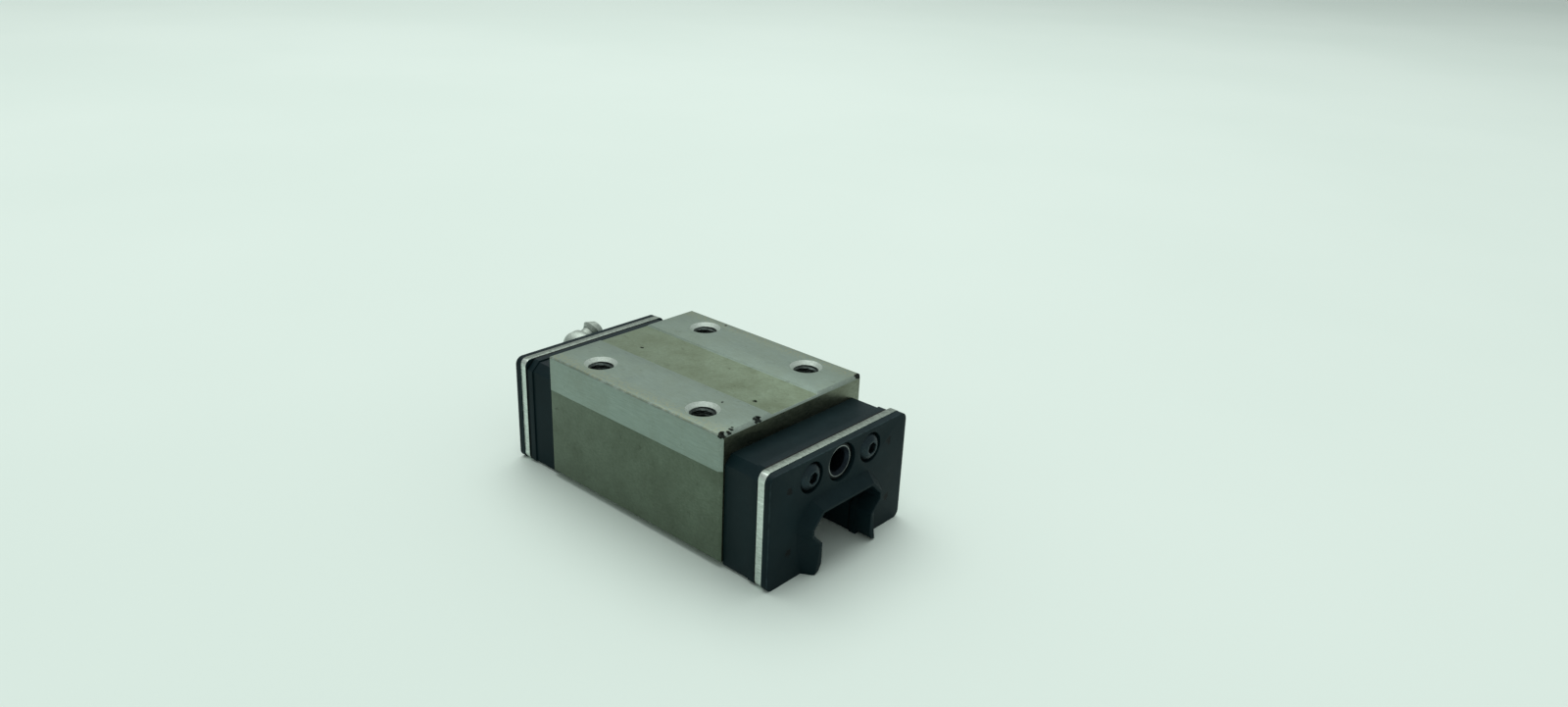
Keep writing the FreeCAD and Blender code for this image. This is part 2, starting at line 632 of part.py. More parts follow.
def make_seal_core(end, turned):
    body = new_body("seal_core_" + end, turned)
    plate = new_sketch(body, "YZ_Plane", "plate", FLANGE_END)
    draw_plate(plate, CORE_SIDE, CORE_TOP, CORE_FOOT)
    sheet_plate = pad(plate, "core_thickness")
    upper = round_corners(sheet_plate, "core_corner", CORE_SIDE, CORE_TOP)
    round_corners(upper, "foot_radius", CORE_SIDE, CORE_FOOT)
    cut_rail_opening(body, "core_rail_gap")
    cut_screw_holes(body, "screw_shank + 2 * screw_clearance", "port_sleeve + 2 * port_gap")
    return body


def cut_lip_corners(body):
    corners = new_sketch(body, "YZ_Plane", "corners")
    waist = "rail_width / 2 - rail_bevel + lip_rail_gap"
    for side_sign in (plus, minus):
        draw_outline(corners, [
            (side_sign("rail_width / 2 - 2 * rail_bevel"), SEAL_FOOT + " + lip_corner"),
            (side_sign(waist), SEAL_FOOT + " + lip_corner"),
            (side_sign(waist + " + lip_corner / 3"), SEAL_FOOT + " + lip_corner / 3"),
            (side_sign(waist + " + lip_corner"), SEAL_FOOT),
            (side_sign(waist + " + lip_corner"), UNDER_ALL),
            (side_sign("rail_width / 2 - 2 * rail_bevel"), UNDER_ALL),
        ])
    pocket(corners, both_ways=True)


def make_end_seal(end, turned):
    body = new_body("end_seal_" + end, turned)
    face = new_sketch(body, "YZ_Plane", "face", CORE_END)
    draw_plate(face, SEAL_SIDE, SEAL_TOP, SEAL_FOOT)
    slab = pad(face, "seal_thickness")
    upper = round_corners(slab, "seal_corner", SEAL_SIDE, SEAL_TOP)
    round_corners(upper, "foot_radius", SEAL_SIDE, SEAL_FOOT)

    foot = new_sketch(body, "YZ_Plane", "flank_foot", SEAL_END)
    draw_outline(foot, mirrored([
        (FLANK_REACH + " - foot_radius", SEAL_FOOT),
        (FLANK_REACH, UNDERCUT),
        (FLANK_REACH, UNDERCUT + " + rail_bevel"),
        (FLANK_REACH, "%s - (%s - %s)" % (FLANK_TOP, FLANK_REACH, FLANK_SHOULDER)),
        (FLANK_SHOULDER, FLANK_TOP),
    ]))
    edge = new_sketch(body, "YZ_Plane", "lip_edge", LIP_END)
    land = "lip_rail_gap + lip_land"
    outline = rail_half(land, LEG_FOOT + " - lip_foot")
    outline[0] = (outline[0][0] + " + 2 * lip_land", outline[0][1])
    draw_outline(edge, mirrored(outline))
    flank = add_feature("AdditiveLoft", foot, "loft")
    flank.Sections = [edge]
    flank.Ruled = True
    cut_rail_opening(body, "lip_rail_gap")
    cut_lip_corners(body)
    cut_screw_holes(body, "head_diameter + 2 * head_recess_gap", "port_recess")
    return body


# Button-head screws through the seal and the end plate into the steel
def make_end_screw(end, turned, side, side_sign):
    body = new_body("end_screw_%s_%s" % (end, side), turned)
    tip = FACE + " - screw_depth"
    top = CORE_END + " + head_height"
    profile = new_sketch(body, "XZ_Plane", "profile", minus(side_sign("screw_reach")), drop="-screw_drop")
    draw_outline(profile, [
        (tip, "0"),
        (tip, "screw_shank / 2 - screw_point"),
        (tip + " + screw_point", "screw_shank / 2"),
        (CORE_END, "screw_shank / 2"),
        (CORE_END, "head_diameter / 2"),
        (CORE_END + " + head_rim", "head_diameter / 2"),
        (CORE_END + " + (head_rim + head_height) / 2", "head_shoulder / 2"),
        (top, "head_crown / 2"),
        (top, "0"),
    ])
    revolve(profile, "H_Axis")
    socket = new_sketch(body, "YZ_Plane", "socket", top, shift=side_sign("screw_reach"), drop="-screw_drop")
    draw_hexagon(socket, "socket_flats")
    pocket(socket, "socket_depth")
    return body


def make_port_insert(end, turned):
    body = new_body("grease_port_insert_" + end, turned)
    back = CORE_END + " - port_length"
    bevel = "(port_mouth - port_thread) / 2"
    profile = new_sketch(body, "XZ_Plane", "profile", drop="-screw_drop")
    draw_outline(profile, [
        (back, "port_thread / 2"),
        (back, "port_sleeve / 2"),
        (CORE_END, "port_sleeve / 2"),
        (CORE_END, "port_collar / 2"),
        (COLLAR_END, "port_collar / 2"),
        (COLLAR_END, "port_mouth / 2"),
        ("%s - %s" % (COLLAR_END, bevel), "port_thread / 2"),
    ])
    revolve(profile, "H_Axis")
    return body


# The grease nipple at the rear, with its check ball and spring in the leaning head
CHECK_PLACE = "(nipple_head_end - check_wall - sqrt(check_ball ^ 2 - check_mouth ^ 2) / 2 - check_seat_gap)"
SPRING_TOP = "(%s - check_ball / 2)" % CHECK_PLACE
SPRING_FOOT = "(%s - spring_length)" % SPRING_TOP


def make_nipple():
    body = new_body("grease_nipple_body", turned=True)
    stem = new_sketch(body, "XZ_Plane", "stem", drop="-screw_drop")
    tip = COLLAR_END + " - nipple_stem_length"
    draw_outline(stem, [
        (tip, "0"),
        (tip, "nipple_stem / 2 - screw_point"),
        (tip + " + screw_point", "nipple_stem / 2"),
        (COLLAR_END, "nipple_stem / 2"),
        (COLLAR_END + " + nipple_hexagon", "nipple_flats / 2"),
        (KNEE_PLACE + " - nipple_knee / 4", "nipple_knee / 2"),
        (KNEE_PLACE + " + nipple_knee / 8", "nipple_knee / 2"),
        (KNEE_PLACE + " + nipple_knee_end * 3 / 4", "nipple_knee / 2 - nipple_crown / 3"),
        (KNEE_PLACE + " + nipple_knee_end", "nipple_crown / 2"),
        (KNEE_PLACE + " + nipple_knee_end", "0"),
    ])
    revolve(stem, "H_Axis")
    hexagon = new_sketch(body, "YZ_Plane", "hexagon", COLLAR_END, drop="-screw_drop")
    draw_hexagon(hexagon, "nipple_flats")
    pad(hexagon, "nipple_hexagon")
    arm = new_sketch(body, "YZ_Plane", "arm", KNEE_PLACE, drop="-screw_drop", lean="nipple_lean")
    draw_outline(arm, [
        ("0", "0"),
        ("0", "nipple_neck / 2"),
        ("nipple_neck_end - (nipple_neck - nipple_waist)", "nipple_neck / 2"),
        ("nipple_neck_end", "nipple_waist / 2"),
        ("nipple_head_mid", "nipple_head / 2"),
        ("nipple_head_end", "nipple_face / 2"),
        ("nipple_head_end", "0"),
    ])
    revolve(arm, "H_Axis")
    bore = new_sketch(body, "YZ_Plane", "bore", KNEE_PLACE, drop="-screw_drop", lean="nipple_lean")
    shoulder = "nipple_head_end - check_wall"
    draw_outline(bore, [
        ("0", "0"),
        ("0", "nipple_bore / 2"),
        (SPRING_FOOT + " - check_seat_gap", "nipple_bore / 2"),
        (SPRING_FOOT + " - check_seat_gap", "check_ball / 2 + check_gap"),
        (shoulder, "check_ball / 2 + check_gap"),
        (shoulder, "check_mouth / 2"),
        ("nipple_head_end + check_wall", "check_mouth / 2"),
        ("nipple_head_end + check_wall", "0"),
    ])
    groove(bore, "H_Axis")
    way = new_sketch(body, "YZ_Plane", "way", KNEE_PLACE, drop="-screw_drop")
    draw_circle(way, "0", "0", "nipple_bore")
    pocket(way)
    return body


def place_in_head(item, distance):
    item.setExpression("Placement.Base.x", bound(minus(KNEE_PLACE)))
    item.setExpression("Placement.Base.y", bound("-%s * cos(nipple_lean * 1 deg)" % distance))
    item.setExpression("Placement.Base.z", bound("%s * sin(nipple_lean * 1 deg) - screw_drop" % distance))


def make_check_ball():
    ball = doc.addObject("Part::Sphere", "grease_nipple_ball")
    ball.Label = "grease_nipple_ball"
    ball.setExpression("Radius", bound("check_ball / 2"))
    place_in_head(ball, CHECK_PLACE)
    return ball


def make_check_spring():
    coil = doc.addObject("Part::Helix", "spring_coil")
    coil.setExpression("Radius", bound("check_ball / 2 - spring_wire"))
    coil.setExpression("Height", bound("spring_length - spring_wire"))
    coil.setExpression("Pitch", bound("(spring_length - spring_wire) / spring_turns"))
    wire = doc.addObject("Part::RegularPolygon", "spring_section")
    wire.Polygon = 6
    wire.setExpression("Circumradius", bound("spring_wire / 2"))
    wire.Placement = FreeCAD.Placement(FreeCAD.Vector(), FreeCAD.Rotation(FreeCAD.Vector(1, 0, 0), 90))
    wire.setExpression("Placement.Base.x", bound("check_ball / 2 - spring_wire"))
    doc.recompute()
    spring = doc.addObject("Part::Sweep", "grease_nipple_spring")
    spring.Label = "grease_nipple_spring"
    spring.Sections = [wire]
    spring.Spine = (coil, ["Edge%d" % count for count in range(1, len(coil.Shape.Edges) + 1)])
    spring.Solid = True
    spring.Frenet = True
    lean = FreeCAD.Rotation(FreeCAD.Vector(1, 0, 0), 90 - number("nipple_lean"))
    spring.Placement = FreeCAD.Placement(FreeCAD.Vector(), lean)
    spring.setExpression("Placement.Rotation.Angle", bound("(90 - nipple_lean) * 1 deg"))
    place_in_head(spring, "(%s + spring_wire / 2)" % SPRING_FOOT)
    return spring


# A ball with 32 flat facets: an octahedron whose edges are halved, all corners on the sphere
def faceted_ball(radius):
    axes = [FreeCAD.Vector(1, 0, 0), FreeCAD.Vector(0, 1, 0), FreeCAD.Vector(0, 0, 1)]
    faces = []
    for signs in range(8):
        tips = [axes[turn] * (-1 if signs >> turn & 1 else 1) for turn in range(3)]
        halves = [(tips[turn] + tips[(turn + 1) % 3]).normalize() for turn in range(3)]
        corners = [(tips[0], halves[0], halves[2]), (tips[1], halves[1], halves[0]),
                   (tips[2], halves[2], halves[1]), tuple(halves)]
        for corner in corners:
            points = [point * radius for point in corner]
            faces.append(Part.Face(Part.makePolygon(points + [points[0]])))
    return Part.Solid(Part.Shell(faces))


# A point of a closed circuit: the loaded run, a turn, the return run and the other turn
def circuit_point(travel, length, near, radius):
    turn = math.pi * radius
    travel = travel % (2 * (length + turn))
    middle = near + radius
    if travel < length:
        return (travel - length / 2, near)
    if travel < length + turn:
        angle = (travel - length) / radius
        return (length / 2 + radius * math.sin(angle), middle - radius * math.cos(angle))
    if travel < 2 * length + turn:
        return (length * 3 / 2 + turn - travel, near + 2 * radius)
    angle = (travel - 2 * length - turn) / radius
    return (-length / 2 - radius * math.sin(angle), middle + radius * math.cos(angle))


# Centres of as many equally spaced balls as the circuit takes
def circuit_centres(length, near, radius, least):
    def walk(spacing, count):
        travels = [0]
        for _ in range(count):
            here = circuit_point(travels[-1], length, near, radius)
            ahead = spacing
            for _ in range(30):
                there = circuit_point(travels[-1] + ahead, length, near, radius)
                ahead += spacing - math.dist(here, there)
            travels.append(travels[-1] + ahead)
        return travels

    whole = 2 * (length + math.pi * radius)
    count = 2
    while walk(least, count + 1)[-1] <= whole:
        count += 1
    low, high = least, 2 * least
    for _ in range(40):
        spacing = (low + high) / 2
        if walk(spacing, count)[-1] > whole:
            high = spacing
        else:
            low = spacing
    return [circuit_point(travel, length, near, radius) for travel in walk(low, count)[:-1]]


def make_balls(row, height, side, side_sign):
    ball = faceted_ball(number("ball_diameter / 2"))
    centres = circuit_centres(number("block_length"), number(ROW_REACH), number(TURN_RADIUS),
                              number("ball_diameter + ball_play"))
    solids = []
    for along, across in centres:
        copy = ball.copy()
        copy.translate(FreeCAD.Vector(along, number(side_sign(str(across))), number(height)))
        solids.append(copy)
    balls = doc.addObject("Part::Feature", "balls_%s_%s" % (row, side))
    balls.Label = balls.Name
    balls.Shape = Part.Compound(solids)
    return balls


pieces = [make_block(), make_top_retainer()]
for side, side_sign in sides(False):
    pieces.append(make_side_retainer(side, side_sign))
    pieces.append(make_lower_retainer(side, side_sign))
    pieces.append(make_side_seal(side, side_sign))
    pieces.append(make_balls("upper", UPPER_ROW, side, side_sign))
    pieces.append(make_balls("lower", LOWER_ROW, side, side_sign))
for end, turned in ENDS:
    pieces.append(make_end_plate(end, turned))
    pieces.append(make_seal_core(end, turned))
    pieces.append(make_end_seal(end, turned))
    pieces.append(make_port_insert(end, turned))
    for side, side_sign in sides(turned):
        pieces.append(make_return_guide(end, turned, side, side_sign))
        pieces.append(make_end_screw(end, turned, side, side_sign))
pieces += [make_nipple(), make_check_ball(), make_check_spring()]
doc.recompute()

# Nothing is written unless every object is sound
for item in doc.Objects:
    if "Invalid" in item.State or "Error" in item.State:
        raise RuntimeError("%s is %s" % (item.Name, item.State))
for piece in pieces:
    if piece.Shape.isNull() or not piece.Shape.isValid():
        raise RuntimeError("%s has no valid shape" % piece.Label)
os.makedirs("parts", exist_ok=True)
for piece in pieces:
    piece.Shape.exportStep("parts/%s.step" % piece.Label)
    box = piece.Shape.BoundBox
    print("%-28s solids %2d  volume %9.2f  x %7.2f %7.2f  y %7.2f %7.2f  z %7.2f %7.2f" % (
        piece.Label, len(piece.Shape.Solids), piece.Shape.Volume,
        box.XMin, box.XMax, box.YMin, box.YMax, box.ZMin, box.ZMax))
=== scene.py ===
import json
from math import cos, pi, radians, sin
import bpy
import bmesh
from mathutils import Matrix, Vector


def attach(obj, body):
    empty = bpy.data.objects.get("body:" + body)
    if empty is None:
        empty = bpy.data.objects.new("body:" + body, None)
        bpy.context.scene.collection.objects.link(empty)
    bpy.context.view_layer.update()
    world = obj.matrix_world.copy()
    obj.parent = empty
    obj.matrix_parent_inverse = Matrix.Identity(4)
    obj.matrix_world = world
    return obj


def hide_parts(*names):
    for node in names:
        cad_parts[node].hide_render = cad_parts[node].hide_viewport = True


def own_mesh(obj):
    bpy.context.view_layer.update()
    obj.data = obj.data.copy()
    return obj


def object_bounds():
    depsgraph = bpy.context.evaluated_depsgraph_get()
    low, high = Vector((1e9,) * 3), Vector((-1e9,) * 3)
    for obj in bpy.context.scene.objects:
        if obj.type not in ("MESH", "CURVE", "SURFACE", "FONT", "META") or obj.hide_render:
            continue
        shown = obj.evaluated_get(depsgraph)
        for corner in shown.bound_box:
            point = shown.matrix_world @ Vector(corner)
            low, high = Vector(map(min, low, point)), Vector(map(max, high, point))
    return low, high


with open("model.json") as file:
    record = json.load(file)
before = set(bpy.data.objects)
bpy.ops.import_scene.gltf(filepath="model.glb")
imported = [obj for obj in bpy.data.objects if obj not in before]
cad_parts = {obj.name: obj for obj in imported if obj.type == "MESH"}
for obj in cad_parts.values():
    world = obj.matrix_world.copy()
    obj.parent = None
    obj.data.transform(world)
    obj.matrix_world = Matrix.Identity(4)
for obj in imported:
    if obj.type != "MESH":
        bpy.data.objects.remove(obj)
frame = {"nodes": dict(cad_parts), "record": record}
cadBox = [list(corner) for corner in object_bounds()]
print("frame loaded:", len(frame["nodes"]), "nodes")


# small helpers for colours and shader nodes
def paint(red, green, blue):
    def linear(part):
        part = part / 255
        return part / 12.92 if part <= 0.04045 else ((part + 0.055) / 1.055) ** 2.4
    return (linear(red), linear(green), linear(blue), 1)


def addNode(tree, kind, inputs=None, **settings):
    node = tree.nodes.new(kind)
    for name, value in settings.items():
        setattr(node, name, value)
    for name, value in (inputs or {}).items():
        if isinstance(value, bpy.types.NodeSocket):
            tree.links.new(value, node.inputs[name])
        else:
            node.inputs[name].default_value = value
    return node


def calculate(tree, operation, first, second=0.0):
    return addNode(tree, "ShaderNodeMath", {0: first, 1: second}, operation=operation).outputs[0]


def mixColours(tree, factor, first, second):
    node = addNode(tree, "ShaderNodeMix", data_type="RGBA")
    for name, value in ((0, factor), (6, first), (7, second)):
        if isinstance(value, bpy.types.NodeSocket):
            tree.links.new(value, node.inputs[name])
        else:
            node.inputs[name].default_value = value
    return node.outputs[2]


def remap(tree, value, low, high, start=0.0, end=1.0, smooth=True):
    node = addNode(tree, "ShaderNodeMapRange",
                   {"Value": value, "From Min": low, "From Max": high, "To Min": start, "To Max": end})
    if smooth:
        node.interpolation_type = "SMOOTHSTEP"
    return node.outputs["Result"]


def cover(tree, colour, tint, mask, amount):
    return mixColours(tree, calculate(tree, "MULTIPLY", mask, amount), colour, tint)


def raised(tree, value, mask, amount):
    return calculate(tree, "ADD", value, calculate(tree, "MULTIPLY", mask, amount))


def lowered(tree, value, mask, amount):
    return calculate(tree, "SUBTRACT", value, calculate(tree, "MULTIPLY", mask, amount))


def weighted(tree, broad, fine, fineShare):
    return raised(tree, calculate(tree, "MULTIPLY", broad, 1 - fineShare), fine, fineShare)


def objectPlace(tree):
    return addNode(tree, "ShaderNodeTexCoord").outputs["Object"]


def objectAxes(tree):
    return addNode(tree, "ShaderNodeSeparateXYZ", {0: objectPlace(tree)}).outputs


def distanceFrom(tree, place, spot):
    offset = addNode(tree, "ShaderNodeVectorMath", {0: place, 1: spot}, operation="SUBTRACT")
    return addNode(tree, "ShaderNodeVectorMath", {0: offset.outputs[0]}, operation="LENGTH").outputs["Value"]


def noise(tree, place, scale, detail, roughness=0.5):
    made = addNode(tree, "ShaderNodeTexNoise",
                   {"Vector": place, "Scale": scale, "Detail": detail, "Roughness": roughness})
    return made.outputs["Fac"]


def newGroup(name, inputs, outputs):
    tree = bpy.data.node_groups.new(name, "ShaderNodeTree")
    for label, kind, value in inputs:
        socket = tree.interface.new_socket(label, in_out="INPUT", socket_type=kind)
        socket.default_value = value
    for label, kind in outputs:
        tree.interface.new_socket(label, in_out="OUTPUT", socket_type=kind)
    return tree, tree.nodes.new("NodeGroupInput").outputs, tree.nodes.new("NodeGroupOutput").inputs


# edge wear: how near a point is to the edges of the box that its piece fills
def makeEdgeWear():
    tree, given, made = newGroup("edgeWear", [
        ("Centre", "NodeSocketVector", (0, 0, 0)),
        ("Half Size", "NodeSocketVector", (0.02, 0.02, 0.02)),
        ("Width", "NodeSocketFloat", 0.0004),
    ], [("Mask", "NodeSocketFloat")])
    place = objectPlace(tree)
    apart = objectAxes(tree)
    along = calculate(tree, "ABSOLUTE", apart[0])
    bothEnds = addNode(tree, "ShaderNodeCombineXYZ", {0: along, 1: apart[1], 2: apart[2]})
    offset = addNode(tree, "ShaderNodeVectorMath",
                     {0: bothEnds.outputs[0], 1: given["Centre"]}, operation="SUBTRACT")
    size = addNode(tree, "ShaderNodeVectorMath", {0: offset.outputs[0]}, operation="ABSOLUTE")
    inside = addNode(tree, "ShaderNodeVectorMath",
                     {0: given["Half Size"], 1: size.outputs[0]}, operation="SUBTRACT")
    parts = addNode(tree, "ShaderNodeSeparateXYZ", {0: inside.outputs[0]}).outputs
    lower = calculate(tree, "MINIMUM", parts[0], parts[1])
    upper = calculate(tree, "MAXIMUM", parts[0], parts[1])
    middle = calculate(tree, "MAXIMUM", lower, calculate(tree, "MINIMUM", upper, parts[2]))
    uneven = noise(tree, place, scale=600.0, detail=4)
    uneven = remap(tree, uneven, low=0.35, high=0.7, start=0.15, end=1.6, smooth=False)
    width = calculate(tree, "MULTIPLY", given["Width"], uneven)
    tree.links.new(remap(tree, middle, low=0, high=width, start=1, end=0, smooth=False), made["Mask"])
    return tree


# grain: long fine marks for ground and rolled steel, stretched by Stretch
def makeGrain():
    tree, given, made = newGroup("steelGrain", [
        ("Stretch", "NodeSocketVector", (300, 9000, 9000)),
    ], [("Marks", "NodeSocketFloat"), ("Height", "NodeSocketFloat")])
    place = objectPlace(tree)
    stretched = addNode(tree, "ShaderNodeVectorMath", {0: place, 1: given["Stretch"]}, operation="MULTIPLY")
    marks = noise(tree, stretched.outputs[0], scale=1.0, detail=3, roughness=0.6)
    tree.links.new(remap(tree, marks, low=0.3, high=0.7, smooth=False), made["Marks"])
    tree.links.new(marks, made["Height"])
    return tree


# blotches: soft stains with fine speckle at their rims
def makeBlotches():
    tree, given, made = newGroup("blotches", [
        ("Scale", "NodeSocketFloat", 60.0),
        ("Cover", "NodeSocketFloat", 0.5),
        ("Softness", "NodeSocketFloat", 0.15),
    ], [("Mask", "NodeSocketFloat")])
    place = objectPlace(tree)
    fineScale = calculate(tree, "MULTIPLY", given["Scale"], 14)
    broad = noise(tree, place, given["Scale"], detail=6, roughness=0.62)
    fine = noise(tree, place, fineScale, detail=3, roughness=0.6)
    both = weighted(tree, broad, fine, fineShare=0.28)
    low = calculate(tree, "SUBTRACT", given["Cover"], given["Softness"])
    high = calculate(tree, "ADD", given["Cover"], given["Softness"])
    tree.links.new(remap(tree, both, low, high, smooth=False), made["Mask"])
    return tree


# nick: one small ragged spot at a place
def makeNick():
    tree, given, made = newGroup("nick", [
        ("Place", "NodeSocketVector", (0, 0, 0)),
        ("Radius", "NodeSocketFloat", 0.0004),
    ], [("Mask", "NodeSocketFloat")])
    place = objectPlace(tree)
    away = distanceFrom(tree, place, given["Place"])
    ragged = noise(tree, place, scale=1500, detail=3, roughness=0.7)
    ragged = remap(tree, ragged, low=0.3, high=0.7, start=0.45, end=1.7, smooth=False)
    reach = calculate(tree, "MULTIPLY", given["Radius"], ragged)
    core = calculate(tree, "MULTIPLY", reach, 0.75)
    tree.links.new(remap(tree, away, low=core, high=reach, start=1, end=0, smooth=False), made["Mask"])
    return tree


# moulded skin: the fine spark-eroded grain of mouldings, and soft sink marks
def makeMouldedSkin():
    tree, given, made = newGroup("mouldedSkin", [
        ("Grain Scale", "NodeSocketFloat", 5000.0),
    ], [("Height", "NodeSocketFloat"), ("Shade", "NodeSocketFloat")])
    place = objectPlace(tree)
    fine = noise(tree, place, given["Grain Scale"], detail=2, roughness=0.6)
    broad = noise(tree, place, scale=90, detail=4, roughness=0.6)
    both = weighted(tree, broad, fine, fineShare=0.35)
    tree.links.new(both, made["Height"])
    tree.links.new(remap(tree, both, low=0.35, high=0.65, smooth=False), made["Shade"])
    return tree


# dust: lies on faces that look up, in uneven patches
def makeDust():
    tree, given, made = newGroup("dust", [
        ("Amount", "NodeSocketFloat", 0.3),
    ], [("Mask", "NodeSocketFloat")])
    normal = addNode(tree, "ShaderNodeNewGeometry").outputs["Normal"]
    upward = addNode(tree, "ShaderNodeSeparateXYZ", {0: normal}).outputs[2]
    facing = remap(tree, upward, low=-0.3, high=0.9, start=0.25)
    patches = noise(tree, objectPlace(tree), scale=220.0, detail=6, roughness=0.7)
    patches = remap(tree, patches, low=0.35, high=0.75)
    amount = calculate(tree, "MULTIPLY", calculate(tree, "MULTIPLY", facing, patches), given["Amount"])
    tree.links.new(amount, made["Mask"])
    return tree


groups = {
    "edgeWear": makeEdgeWear(), "grain": makeGrain(), "blotches": makeBlotches(),
    "nick": makeNick(), "skin": makeMouldedSkin(), "dust": makeDust(),
}


def placeGroup(tree, group, inputs):
    node = addNode(tree, "ShaderNodeGroup", node_tree=groups[group])
    for name, value in inputs.items():
        node.inputs[name].default_value = value
    return node.outputs


def startMaterial(name, **fixed):
    material = bpy.data.materials.new(name)
    material.use_nodes = True
    tree = material.node_tree
    shader = tree.nodes["Principled BSDF"]
    for label, value in fixed.items():
        shader.inputs[label.replace("_", " ")].default_value = value
    return material, tree, shader


def finishMaterial(tree, shader, colour, rough, height, strength, depth):
    tree.links.new(colour, shader.inputs["Base Color"])
    tree.links.new(rough, shader.inputs["Roughness"])
    bump = addNode(tree, "ShaderNodeBump", {"Height": height, "Strength": strength, "Distance": depth})
    tree.links.new(bump.outputs["Normal"], shader.inputs["Normal"])


# steel that has been ground or rolled: marks, stains, bright worn edges and nicks. All steels share this
steelWear = {
    "stainSoftness": 0.13, "stainRough": 0.1,
    "speckScale": 420.0, "speckCover": 0.63, "speckSoftness": 0.03, "speckAmount": 0.45,
    "roughSpread": 0.05, "edgeAmount": 0.7, "grooveCore": 0.6, "grooveDepth": 3.0,
    "gritScale": 1300.0, "gritCover": 0.52, "gritSoftness": 0.05, "gritAmount": 0.8, "gritFoot": -0.0003,
    "nickAmount": 0.9, "nickDepth": 3.0, "nickRough": 0.3, "bump": 0.25, "bumpDepth": 0.00003,
}


def makeSteel(name, facts):
    wear = steelWear
    material, tree, shader = startMaterial(name, Metallic=1.0)
    grain = placeGroup(tree, "grain", {"Stretch": facts["stretch"]})
    stain = placeGroup(tree, "blotches", {
        "Scale": facts["stainScale"], "Cover": facts["stainCover"], "Softness": wear["stainSoftness"]})
    speck = placeGroup(tree, "blotches", {
        "Scale": wear["speckScale"], "Cover": wear["speckCover"], "Softness": wear["speckSoftness"]})
    colour = mixColours(tree, grain["Marks"], facts["dark"], facts["light"])
    colour = cover(tree, colour, facts["stain"], stain["Mask"], facts["stainAmount"])
    colour = cover(tree, colour, facts["speck"], speck["Mask"], wear["speckAmount"])
    least = facts["rough"] - wear["roughSpread"]
    most = facts["rough"] + wear["roughSpread"]
    rough = remap(tree, grain["Marks"], 0, 1, start=least, end=most, smooth=False)
    rough = raised(tree, rough, stain["Mask"], wear["stainRough"])
    height = grain["Height"]
    if "box" in facts:
        centre, half, width = facts["box"]
        edge = placeGroup(tree, "edgeWear", {"Centre": centre, "Half Size": half, "Width": width})["Mask"]
        colour = cover(tree, colour, facts["edge"], edge, wear["edgeAmount"])
    # painted shade: above the given heights the top takes its own darker colours, darker than the sides
    if "crown" in facts:
        low, high, darker, lighter = facts["crown"]
        crown = remap(tree, objectAxes(tree)[2], low, high)
        colour = mixColours(tree, crown, colour, mixColours(tree, grain["Marks"], darker, lighter))
    # painted shade: the ring groove is sunk by the bump and its colour darkened to the stain colour as the
    # shade in it
    if "groove" in facts:
        groove = grooveMask(tree, *facts["groove"])
        colour = mixColours(tree, groove, colour, facts["stain"])
        height = lowered(tree, height, groove, wear["grooveDepth"])
    if "rimSpeckle" in facts:
        inner, outer, tint = facts["rimSpeckle"]
        colour = cover(tree, colour, tint, rimMask(tree, inner, outer), wear["gritAmount"])
    for spot, radius in facts.get("nicks", []):
        mask = placeGroup(tree, "nick", {"Place": spot, "Radius": radius})["Mask"]
        colour = cover(tree, colour, facts["nick"], mask, wear["nickAmount"])
        height = lowered(tree, height, mask, wear["nickDepth"])
        rough = raised(tree, rough, mask, wear["nickRough"])
    finishMaterial(tree, shader, colour, rough, height, facts.get("bump", wear["bump"]), wear["bumpDepth"])
    return material


# a ring groove of radius middle round a line along X at height level
def grooveMask(tree, level, middle, half):
    apart = objectAxes(tree)
    flat = addNode(tree, "ShaderNodeCombineXYZ", {1: apart[1], 2: apart[2]})
    away = distanceFrom(tree, flat.outputs[0], (0, 0, level))
    near = calculate(tree, "ABSOLUTE", calculate(tree, "SUBTRACT", away, middle))
    return remap(tree, near, half * steelWear["grooveCore"], half, start=1, end=0)


# grit on top of the block, thicker towards its long edges
def rimMask(tree, inner, outer):
    wear = steelWear
    apart = objectAxes(tree)
    band = remap(tree, calculate(tree, "ABSOLUTE", apart[1]), inner, outer)
    onTop = calculate(tree, "GREATER_THAN", apart[2], wear["gritFoot"])
    grit = placeGroup(tree, "blotches", {
        "Scale": wear["gritScale"], "Cover": wear["gritCover"], "Softness": wear["gritSoftness"]})["Mask"]
    return calculate(tree, "MULTIPLY", calculate(tree, "MULTIPLY", band, grit), onTop)


# black mouldings and rubber: skin, dull patches, dust and rubbed edges. All of them share this
mouldingWear = {
    "patchScale": 70.0, "patchCover": 0.52, "patchSoftness": 0.2, "patchAmount": 0.5, "patchRough": 0.12,
    "rubAmount": 0.35, "seamFade": 0.00004, "dustRough": 0.3, "dotAmount": 0.85, "dotDepth": 2.0,
    "bump": 0.3, "bumpDepth": 0.00004,
}


